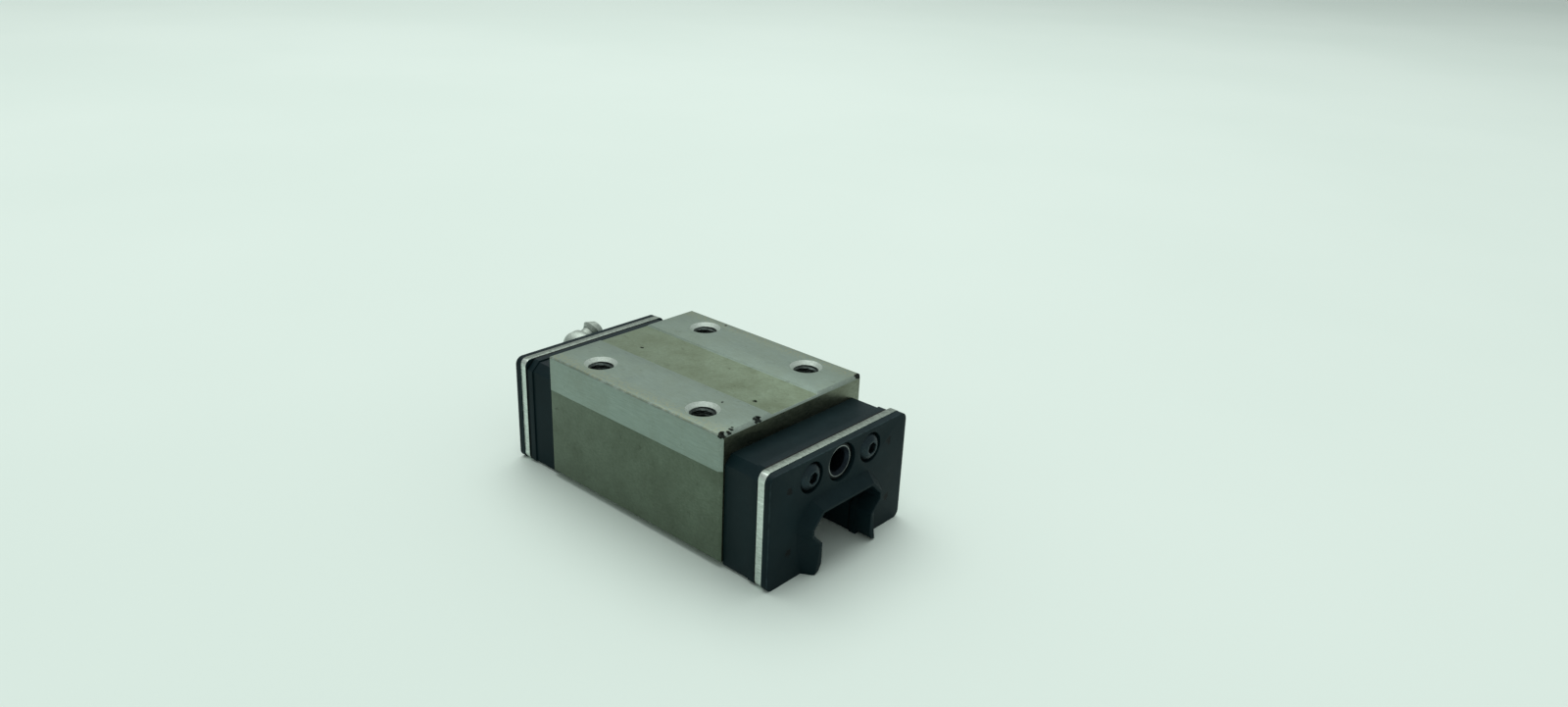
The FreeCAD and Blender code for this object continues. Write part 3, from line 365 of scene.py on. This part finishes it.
def makeMoulding(name, facts):
    wear = mouldingWear
    material, tree, shader = startMaterial(name, Specular_IOR_Level=facts.get("specular", 0.5))
    skin = placeGroup(tree, "skin", {"Grain Scale": facts["grainScale"]})
    patches = placeGroup(tree, "blotches", {
        "Scale": wear["patchScale"], "Cover": wear["patchCover"], "Softness": wear["patchSoftness"]})
    dust = placeGroup(tree, "dust", {"Amount": facts["dust"]})
    colour = mixColours(tree, skin["Shade"], facts["dark"], facts["light"])
    colour = cover(tree, colour, facts["patch"], patches["Mask"], wear["patchAmount"])
    if "box" in facts:
        centre, half, width = facts["box"]
        edge = placeGroup(tree, "edgeWear", {"Centre": centre, "Half Size": half, "Width": width})["Mask"]
        colour = cover(tree, colour, facts["rub"], edge, wear["rubAmount"])
    # painted shadow: the plate's outer rim next to the core plate is darkened as the shadow in the gap
    # between them
    if "seam" in facts:
        start, tint = facts["seam"]
        along = calculate(tree, "ABSOLUTE", objectAxes(tree)[0])
        colour = mixColours(tree, remap(tree, along, start - wear["seamFade"], start), colour, tint)
    colour = mixColours(tree, dust["Mask"], colour, facts["dustColour"])
    dullest = facts["rough"] + wear["patchRough"]
    rough = remap(tree, patches["Mask"], 0, 1, start=facts["rough"], end=dullest, smooth=False)
    rough = raised(tree, rough, dust["Mask"], wear["dustRough"])
    height = skin["Height"]
    for spot, radius in facts.get("dots", []):
        mask = placeGroup(tree, "nick", {"Place": spot, "Radius": radius})["Mask"]
        colour = cover(tree, colour, facts["dotColour"], mask, wear["dotAmount"])
        height = lowered(tree, height, mask, wear["dotDepth"])
    finishMaterial(tree, shader, colour, rough, height, wear["bump"], wear["bumpDepth"])
    return material


# boxes that pieces fill, for their worn edges: centre, half size and width of the wear
blockBox = ((0, 0, -0.01575), (0.02975, 0.024, 0.01575), 0.00045)
plateBox = ((0.0349, 0, -0.0187), (0.00515, 0.0231, 0.0139), 0.0003)
coreBox = ((0.04105, 0, -0.01875), (0.0010, 0.0234, 0.01405), 0.0002)
sealBox = ((0.0429, 0, -0.01887), (0.00085, 0.0236, 0.01402), 0.0003)
# height of the grease port's axis
portLevel = -0.0096
# nicks in the block's steel and faint marks on the front seal, each a place and a radius
groundNicks = [
    ((0.0293, -0.0233, -0.0003), 0.0009), ((0.0286, -0.0227, 0), 0.0006),
    ((0.0294, -0.0213, -0.0002), 0.0007), ((0.0288, -0.0202, 0), 0.0005),
    ((0.0284, -0.0193, 0), 0.0004), ((0.0293, -0.0124, -0.0002), 0.0011),
    ((0.0285, -0.0117, 0), 0.0006), ((0.0294, 0.0231, -0.0004), 0.0011),
    ((0.0180, -0.0118, 0), 0.00035), ((-0.0150, 0.0226, 0), 0.0004),
]
scaleNicks = [((0.0220, -0.0055, -0.0004), 0.0006), ((-0.0190, -0.0030, -0.0004), 0.0005)]
sealDots = [
    ((0.0437, 0.0173, -0.0103), 0.0009), ((0.0437, -0.0173, -0.0103), 0.0009),
    ((0.0437, -0.0170, -0.0255), 0.0009), ((0.0437, 0.0181, -0.0255), 0.0009),
]
# finishes: paint takes levels of 0 to 255, scales are per metre. A painted shade top has the two heights
# between which the top's own darker dark and light set in as painted shade, a groove (painted dark as shade
# in it) its height, radius and half width, a rim speckle the two distances between which it sets in and a
# tint, and a painted gap shadow its distance from the middle and a tint
groundFinish = dict(
    edge=paint(186, 200, 192), nick=paint(10, 13, 11), stretch=(260, 5200, 5200), rough=0.5,
    stainScale=75.0, stainCover=0.56, stainAmount=0.5, box=blockBox, nicks=groundNicks)
steels = {
    "groundSteel": dict(
        groundFinish, dark=paint(116, 131, 122), light=paint(134, 150, 140), stain=paint(122, 133, 116),
        speck=paint(82, 89, 74), rimSpeckle=(0.0185, 0.0224, paint(138, 145, 122))),
    # painted light: the ground finish again, lighter, so that the side band and the end bevels look as lit as
    # the top
    "bandSteelPaintedLight": dict(
        groundFinish, dark=paint(132, 147, 139), light=paint(152, 167, 158), stain=paint(138, 148, 133),
        speck=paint(92, 100, 86)),
    "scaleSteel": dict(
        dark=paint(114, 129, 110), light=paint(133, 148, 128), stain=paint(104, 114, 92),
        speck=paint(64, 70, 54), edge=paint(160, 172, 158), nick=paint(10, 13, 11),
        stretch=(900, 2400, 2400), rough=0.55, stainScale=110.0, stainCover=0.5, stainAmount=0.6,
        box=blockBox, nicks=scaleNicks),
    # painted shade: the scale finish again, darker, on the block's lower sides
    "sideSteel": dict(
        dark=paint(98, 111, 96), light=paint(116, 129, 113), stain=paint(86, 96, 80),
        speck=paint(56, 61, 48), edge=paint(150, 162, 148), stretch=(900, 2400, 2400), rough=0.55,
        stainScale=110.0, stainCover=0.52, stainAmount=0.5, box=blockBox),
    # painted reflection: the countersinks' base is raised so that they look brightly lit
    "coneSteelPaintedReflection": dict(
        dark=paint(188, 201, 192), light=paint(214, 225, 217), stain=paint(160, 168, 152),
        speck=paint(96, 100, 86), stretch=(2600, 2600, 2600), rough=0.42,
        stainScale=300.0, stainCover=0.6, stainAmount=0.3),
    # painted shade: the tapped bores are darkened as the inside of a hole
    "boreSteelPaintedShade": dict(
        dark=paint(46, 53, 52), light=paint(96, 106, 102), stain=paint(30, 33, 32),
        speck=paint(18, 19, 18), stretch=(3000, 3000, 3000), rough=0.34,
        stainScale=300.0, stainCover=0.5, stainAmount=0.6),
    # painted reflection: the block's end faces are darker, for the dark end plates in front of them
    "endSteel": dict(
        dark=paint(96, 103, 88), light=paint(122, 128, 112), stain=paint(84, 86, 68),
        speck=paint(50, 52, 42), stretch=(2600, 900, 2600), rough=0.3,
        stainScale=160.0, stainCover=0.55, stainAmount=0.5),
    # the core plate's bright rim; its top carries painted shade, darker than its sides
    "coreSteel": dict(
        dark=paint(180, 192, 184), light=paint(226, 235, 229), stain=paint(164, 175, 164),
        speck=paint(100, 106, 98), edge=paint(216, 226, 219), stretch=(700, 3400, 3400), rough=0.42,
        stainScale=140.0, stainCover=0.6, stainAmount=0.5, box=coreBox,
        crown=(-0.00502, -0.0048, paint(104, 115, 107), paint(156, 168, 158))),
    "retainerSteel": dict(
        dark=paint(120, 128, 120), light=paint(164, 172, 164), stain=paint(104, 104, 88),
        speck=paint(70, 70, 58), stretch=(300, 5000, 5000), rough=0.38,
        stainScale=200.0, stainCover=0.58, stainAmount=0.4),
    "ballSteel": dict(
        dark=paint(196, 204, 200), light=paint(214, 222, 218), stain=paint(160, 164, 156),
        speck=paint(120, 120, 110), stretch=(900, 900, 900), rough=0.13,
        stainScale=600.0, stainCover=0.6, stainAmount=0.25, bump=0.02),
    "springSteel": dict(
        dark=paint(120, 124, 120), light=paint(160, 166, 160), stain=paint(90, 90, 80),
        speck=paint(60, 60, 50), stretch=(4000, 4000, 4000), rough=0.35,
        stainScale=900.0, stainCover=0.6, stainAmount=0.3),
    "screwSteel": dict(
        dark=paint(34, 45, 50), light=paint(54, 67, 72), stain=paint(46, 53, 54),
        speck=paint(80, 88, 86), stretch=(4000, 4000, 4000), rough=0.42,
        stainScale=420.0, stainCover=0.58, stainAmount=0.5),
    # painted shade: the wall of the port's bore
    "portSteel": dict(
        dark=paint(22, 29, 36), light=paint(42, 50, 57), stain=paint(50, 55, 58),
        speck=paint(16, 20, 24), stretch=(5000, 1500, 1500), rough=0.5,
        stainScale=320.0, stainCover=0.6, stainAmount=0.3),
    # the insert's light metal, with a groove painted dark as shade in it
    "insertMetal": dict(
        dark=paint(122, 128, 127), light=paint(156, 162, 159), stain=paint(34, 38, 39),
        speck=paint(60, 60, 54), stretch=(5000, 900, 900), rough=0.5,
        stainScale=320.0, stainCover=0.6, stainAmount=0.3, groove=(portLevel, 0.00398, 0.00034)),
    "platedSteel": dict(
        dark=paint(150, 161, 153), light=paint(184, 195, 187), stain=paint(122, 130, 118),
        speck=paint(84, 88, 78), stretch=(2400, 2400, 2400), rough=0.52,
        stainScale=260.0, stainCover=0.6, stainAmount=0.4, bump=0.08),
}
mouldings = {
    # the end plates carry a painted gap shadow at their outer rim, next to the core plate
    "blackPlastic": dict(
        dark=paint(5, 24, 28), light=paint(10, 34, 38), patch=paint(13, 33, 36), rub=paint(56, 76, 80),
        dustColour=paint(72, 92, 94), dust=0.05, grainScale=5200.0, rough=0.46, specular=0.12,
        box=plateBox, seam=(0.03962, paint(2, 4, 5))),
    "guidePlastic": dict(
        dark=paint(32, 42, 42), light=paint(44, 56, 56), patch=paint(52, 60, 58),
        dustColour=paint(96, 108, 102), dust=0.1, grainScale=5200.0, rough=0.45),
    "sealRubber": dict(
        dark=paint(3, 22, 26), light=paint(8, 32, 36), patch=paint(12, 32, 36), rub=paint(60, 80, 84),
        dustColour=paint(78, 98, 100), dust=0.05, grainScale=4200.0, rough=0.55, specular=0.12,
        box=sealBox, dots=sealDots, dotColour=paint(1, 4, 5)),
}
materials = {name: makeSteel(name, facts) for name, facts in steels.items()}
materials.update({name: makeMoulding(name, facts) for name, facts in mouldings.items()})
print("materials made:", len(materials))


# copies of CAD nodes with small rolled edges, which stand for them
meshFacts = {"weld": 1e-6, "flat": radians(0.6), "sharp": radians(30)}


def weldedCopy(nodeName):
    shape = bmesh.new()
    shape.from_mesh(frame["nodes"][nodeName].data)
    bmesh.ops.remove_doubles(shape, verts=shape.verts, dist=meshFacts["weld"])
    return shape


def copyOf(nodeName):
    shape = weldedCopy(nodeName)
    bmesh.ops.dissolve_limit(shape, angle_limit=meshFacts["flat"], verts=shape.verts, edges=shape.edges)
    return shape


def rollEdges(shape, facts):
    sharp = [edge for edge in shape.edges
             if len(edge.link_faces) == 2 and edge.calc_face_angle() > meshFacts["sharp"]]
    bmesh.ops.bevel(shape, geom=sharp, offset=facts["edge"], offset_type="OFFSET", affect="EDGES",
                    segments=facts["segments"], profile=0.5, material=-1, clamp_overlap=True)


def finishPiece(shape, name, finishes, nodes, body="carriage", smoothAngle=40):
    for face in shape.faces:
        face.smooth = True
    for edge in shape.edges:
        edge.smooth = len(edge.link_faces) == 2 and edge.calc_face_angle() < radians(smoothAngle)
    mesh = bpy.data.meshes.new(name)
    shape.to_mesh(mesh)
    shape.free()
    piece = bpy.data.objects.new(name, mesh)
    bpy.context.scene.collection.objects.link(piece)
    for finish in finishes:
        mesh.materials.append(materials[finish])
    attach(piece, body)
    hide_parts(*nodes)
    return piece


def pieceName(nodeName):
    first, *others = nodeName.split("_")
    return first + "".join(word.capitalize() for word in others)


# the four tapped holes: countersink, thread and run-out as one turned wall
holeFacts = {
    "place": 0.0175, "rim": 0.0040, "root": 0.00308, "crest": 0.0025, "pitch": 0.001, "flank": 2.4,
    "depth": 0.0080, "runOut": 0.0009, "top": -0.00001, "around": 44, "rings": 80,
}


def holeRadius(angle, depth):
    facts = holeFacts
    turn = (depth / facts["pitch"] + angle / (2 * pi)) % 1
    groove = min(1, facts["flank"] * min(turn, 1 - turn))
    fade = min(1, (facts["depth"] - depth) / facts["runOut"])
    thread = facts["crest"] + (facts["root"] - facts["crest"]) * groove * fade
    return max(thread, facts["rim"] - depth)


def fromHole(point):
    return Vector((abs(point.x) - holeFacts["place"], abs(point.y) - holeFacts["place"])).length


def openHoles(shape):
    facts = holeFacts
    walls = []
    for face in shape.faces:
        middle = face.calc_center_median()
        if fromHole(middle) < facts["rim"] and -facts["depth"] < middle.z < facts["top"]:
            walls.append(face)
    bmesh.ops.delete(shape, geom=walls, context="FACES")


def lineHoles(shape):
    facts = holeFacts
    for x in (-facts["place"], facts["place"]):
        for y in (-facts["place"], facts["place"]):
            made = bmesh.ops.create_grid(
                shape, x_segments=facts["around"], y_segments=facts["rings"], size=0.5)
            for vertex in made["verts"]:
                angle = 2 * pi * (vertex.co.x + 0.5)
                depth = facts["depth"] * (vertex.co.y + 0.5)
                radius = holeRadius(angle, depth)
                vertex.co = (x + radius * cos(angle), y + radius * sin(angle), -depth)
            bmesh.ops.remove_doubles(shape, verts=made["verts"], dist=meshFacts["weld"])


# the steel block: ground pads; side bands and end bevels in a lighter copy of the ground steel, painted
# light; scale elsewhere, with a darker copy on the lower sides, painted shade; end faces with a painted dark
# reflection, countersinks with a painted bright reflection, bores with painted shade
blockFacts = {
    "edge": 0.00012, "segments": 2, "boreFoot": -0.0115, "coneFoot": -0.0021,
    "padFoot": -0.0002, "padInner": 0.0077, "bevelFoot": -0.0015, "bevelTilt": (0.2, 0.95),
    "side": 0.0235, "bandFoot": -0.0088, "bandSlack": 0.0001, "cut": 0.00001,
    "endFace": 0.0296, "endTilt": 0.99,
    "finishes": ["groundSteel", "scaleSteel", "boreSteelPaintedShade", "endSteel", "coneSteelPaintedReflection", "sideSteel", "bandSteelPaintedLight"],
}


def blockSteel(face):
    facts = blockFacts
    middle = face.calc_center_median()
    tilt = abs(face.normal.x)
    least, most = facts["bevelTilt"]
    if middle.z > facts["boreFoot"] and fromHole(middle) < holeFacts["root"]:
        return "boreSteelPaintedShade"
    if middle.z > facts["coneFoot"] and fromHole(middle) < holeFacts["rim"]:
        return "coneSteelPaintedReflection"
    if middle.z > facts["padFoot"] and abs(middle.y) > facts["padInner"]:
        return "groundSteel"
    if middle.z > facts["bevelFoot"] and least < tilt < most:
        return "bandSteelPaintedLight"
    if middle.z > facts["bandFoot"] - facts["bandSlack"] and abs(middle.y) > facts["side"]:
        return "bandSteelPaintedLight"
    if tilt > facts["endTilt"] and abs(middle.x) > facts["endFace"]:
        return "endSteel"
    if abs(middle.y) > facts["side"]:
        return "sideSteel"
    return "scaleSteel"


def dressBlock():
    facts = blockFacts
    shape = copyOf("carriage_block")
    openHoles(shape)
    rollEdges(shape, facts)
    everything = shape.verts[:] + shape.edges[:] + shape.faces[:]
    bmesh.ops.bisect_plane(shape, geom=everything, dist=facts["cut"],
                           plane_co=(0, 0, facts["bandFoot"]), plane_no=(0, 0, 1))
    lineHoles(shape)
    for face in shape.faces:
        face.material_index = facts["finishes"].index(blockSteel(face))
    finishPiece(shape, "bearingBlock", facts["finishes"], ["carriage_block"])


dressBlock()
print("block dressed")


# mouldings, core plates, seals and hardware at the two ends
plateFacts = {"finishes": ["blackPlastic"], "slot": "black_plastic", "edge": 0.00022, "segments": 3}
coreFacts = {
    "finishes": ["coreSteel", "sealRubber"], "slot": "core_steel", "edge": 0.0001, "segments": 2,
    "openingHalf": 0.0165, "openingTop": -0.012, "faceTilt": 0.9,
}
sealFacts = {"finishes": ["sealRubber"], "slot": "seal_rubber", "edge": 0.0002, "segments": 3}
portFacts = {
    "finishes": ["insertMetal", "portSteel"], "slot": "insert_metal", "edge": 0.00006, "segments": 2,
    "mouth": 0.00352,
}
screwFacts = {"finishes": ["screwSteel"], "slot": "screw_steel", "edge": 0.00016, "segments": 3}
guideFacts = {"finishes": ["guidePlastic"], "slot": "guide_plastic", "edge": 0.00012, "segments": 2}


def roundedCopy(nodeName, facts, darken=None):
    shape = copyOf(nodeName)
    rollEdges(shape, facts)
    if darken:
        darken(shape)
    finishPiece(shape, pieceName(nodeName), facts["finishes"], [nodeName])


# only the rim of the port's insert has its light metal: the wall of its bore takes painted shade
def shadePortBore(shape):
    for face in shape.faces:
        corners = [Vector((vertex.co.y, vertex.co.z - portLevel)) for vertex in face.verts]
        if max(corner.length for corner in corners) < portFacts["mouth"]:
            face.material_index = 1


# the core plate is bright only round its rim: its faces and the rail's opening are dark
def darkenCore(shape):
    facts = coreFacts
    for face in shape.faces:
        middle = face.calc_center_median()
        inOpening = abs(middle.y) < facts["openingHalf"] and middle.z < facts["openingTop"]
        if inOpening or abs(face.normal.x) > facts["faceTilt"]:
            face.material_index = 1


def dressEnds():
    for end in ("front", "rear"):
        roundedCopy("end_plate_" + end, plateFacts)
        roundedCopy("seal_core_" + end, coreFacts, darkenCore)
        roundedCopy("end_seal_" + end, sealFacts)
        roundedCopy("grease_port_insert_" + end, portFacts, shadePortBore)
        for side in ("left", "right"):
            roundedCopy("end_screw_%s_%s" % (end, side), screwFacts)
            roundedCopy("return_guide_%s_%s" % (end, side), guideFacts)


dressEnds()
print("ends dressed")


# each ball of a row is one shell of its node, and a smooth ball takes its place and size
def roundBalls(nodeName, body="carriage"):
    source = weldedCopy(nodeName)
    shape = bmesh.new()
    unseen = set(source.verts)
    while unseen:
        front = [unseen.pop()]
        shell = []
        while front:
            vertex = front.pop()
            shell.append(vertex.co.copy())
            for edge in vertex.link_edges:
                other = edge.other_vert(vertex)
                if other in unseen:
                    unseen.discard(other)
                    front.append(other)
        low = Vector([min(point[axis] for point in shell) for axis in range(3)])
        high = Vector([max(point[axis] for point in shell) for axis in range(3)])
        bmesh.ops.create_icosphere(shape, subdivisions=2, radius=(high - low).z / 2,
                                   matrix=Matrix.Translation((low + high) / 2))
    source.free()
    finishPiece(shape, pieceName(nodeName), ["ballSteel"], [nodeName], body, smoothAngle=80)


# check spring: a round wire wound along the ball's travel, over the length of its node; the real spring
# shortens as the ball goes in
springFacts = {"turns": 5, "wire": 0.00024, "sides": 10, "stepsPerTurn": 24}


def windSpring():
    facts = springFacts
    joint = frame["record"]["behaviour"]["joints"][0]
    outward = -Vector(joint["axis"]).normalized()
    points = [vertex.co.copy() for vertex in frame["nodes"]["grease_nipple_spring"].data.vertices]
    centre = sum(points, Vector()) / len(points)
    along = [(point - centre).dot(outward) for point in points]
    reach = max((point - centre - outward * away).length for point, away in zip(points, along))
    foot = min(along)
    length = max(along) - foot
    side = Vector((1, 0, 0))
    shape = bmesh.new()
    made = bmesh.ops.create_circle(shape, segments=facts["sides"], radius=facts["wire"] / 2)
    turn = Matrix((side, outward, side.cross(outward))).transposed()
    bmesh.ops.rotate(shape, verts=made["verts"], cent=(0, 0, 0), matrix=turn)
    start = centre + outward * (foot + facts["wire"] / 2) + side * (reach - facts["wire"] / 2)
    bmesh.ops.translate(shape, verts=made["verts"], vec=start)
    steps = facts["turns"] * facts["stepsPerTurn"]
    bmesh.ops.spin(shape, geom=shape.verts[:] + shape.edges[:], cent=centre, axis=outward,
                   dvec=outward * (length - facts["wire"]) / steps, angle=2 * pi * facts["turns"],
                   steps=steps)
    bmesh.ops.holes_fill(shape, edges=[edge for edge in shape.edges if edge.is_boundary], sides=0)
    bmesh.ops.recalc_face_normals(shape, faces=shape.faces)
    spring = finishPiece(shape, "greaseNippleSpring", ["springSteel"], ["grease_nipple_spring"],
                         smoothAngle=60)
    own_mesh(spring)


# retainers, side seals and the nipple
retainerFacts = {"finishes": ["retainerSteel"], "slot": "retainer_steel", "edge": 0.0001, "segments": 2}
sideSealFacts = {"finishes": ["sealRubber"], "slot": "seal_rubber", "edge": 0.0001, "segments": 2}
nippleFacts = {"finishes": ["platedSteel"], "slot": "plated_steel", "edge": 0.00012, "segments": 3}


def dressInside():
    for place in ("top", "left", "right", "lower_left", "lower_right"):
        roundedCopy("retainer_" + place, retainerFacts)
    for side in ("left", "right"):
        roundedCopy("side_seal_" + side, sideSealFacts)
        for row in ("upper", "lower"):
            roundBalls("balls_%s_%s" % (row, side))
    roundedCopy("grease_nipple_body", nippleFacts)
    roundBalls("grease_nipple_ball", "check_ball")
    windSpring()


dressInside()
print("inside dressed")


# floor, lamp, world and camera
floorFacts = {
    "colour": paint(224, 237, 230), "shade": paint(214, 229, 221), "shadeScale": 3.0, "shadeMost": 0.4,
    "half": 5.0, "cells": 8, "clearance": 0.00002,
}
lampFacts = {"place": (-0.46, 0.32, 1.65), "size": 2.0, "power": 22.0, "tint": (0.985, 1.0, 0.985)}
worldFacts = {"colour": (0.94, 1.0, 0.975, 1), "strength": 0.5}
cameraFacts = {
    "place": (0.17677, -0.17464, 0.10664), "azimuth": 40.922, "elevation": 22.526, "roll": 2.528,
    "lens": 25.605, "sensor": 36, "nearest": 0.005,
}


def makeFloor():
    facts = floorFacts
    shape = bmesh.new()
    bmesh.ops.create_grid(shape, x_segments=facts["cells"], y_segments=facts["cells"], size=facts["half"])
    bmesh.ops.translate(shape, verts=shape.verts, vec=(0, 0, cadBox[0][2] - facts["clearance"]))
    mesh = bpy.data.meshes.new("floor")
    shape.to_mesh(mesh)
    shape.free()
    floor = bpy.data.objects.new("floor", mesh)
    bpy.context.scene.collection.objects.link(floor)
    material, tree, shader = startMaterial("paleFloor", Roughness=0.6, Specular_IOR_Level=0.3)
    patches = noise(tree, objectPlace(tree), facts["shadeScale"], detail=4)
    patches = remap(tree, patches, low=0.3, high=0.7, end=facts["shadeMost"])
    colour = mixColours(tree, patches, facts["colour"], facts["shade"])
    tree.links.new(colour, shader.inputs["Base Color"])
    mesh.materials.append(material)


def makeLamp():
    facts = lampFacts
    lamp = bpy.data.lights.new("softbox", "AREA")
    lamp.shape = "DISK"
    lamp.size = facts["size"]
    lamp.energy = facts["power"]
    lamp.color = facts["tint"]
    holder = bpy.data.objects.new("softbox", lamp)
    holder.location = facts["place"]
    holder.rotation_euler = (-Vector(facts["place"])).to_track_quat("-Z", "Y").to_euler()
    bpy.context.scene.collection.objects.link(holder)


def makeWorld():
    world = bpy.context.scene.world or bpy.data.worlds.new("studio")
    bpy.context.scene.world = world
    world.use_nodes = True
    backdrop = world.node_tree.nodes["Background"]
    backdrop.inputs["Color"].default_value = worldFacts["colour"]
    backdrop.inputs["Strength"].default_value = worldFacts["strength"]


def makeCamera():
    facts = cameraFacts
    azimuth, elevation, roll = (radians(facts[name]) for name in ("azimuth", "elevation", "roll"))
    back = Vector((sin(azimuth) * cos(elevation), -cos(azimuth) * cos(elevation), sin(elevation)))
    level = (-back).cross(Vector((0, 0, 1))).normalized()
    upward = level.cross(-back)
    right = level * cos(roll) + upward * sin(roll)
    above = upward * cos(roll) - level * sin(roll)
    camera = bpy.data.cameras.new("photoCamera")
    camera.sensor_width = facts["sensor"]
    camera.sensor_fit = "HORIZONTAL"
    camera.lens = facts["lens"]
    camera.clip_start = facts["nearest"]
    holder = bpy.data.objects.new("photoCamera", camera)
    turn = Matrix((right, above, back)).transposed().to_4x4()
    holder.matrix_world = Matrix.Translation(facts["place"]) @ turn
    bpy.context.scene.collection.objects.link(holder)
    bpy.context.scene.camera = holder


makeFloor()
makeLamp()
makeWorld()
makeCamera()
bpy.context.scene.view_settings.view_transform = "Standard"
print("stage set")
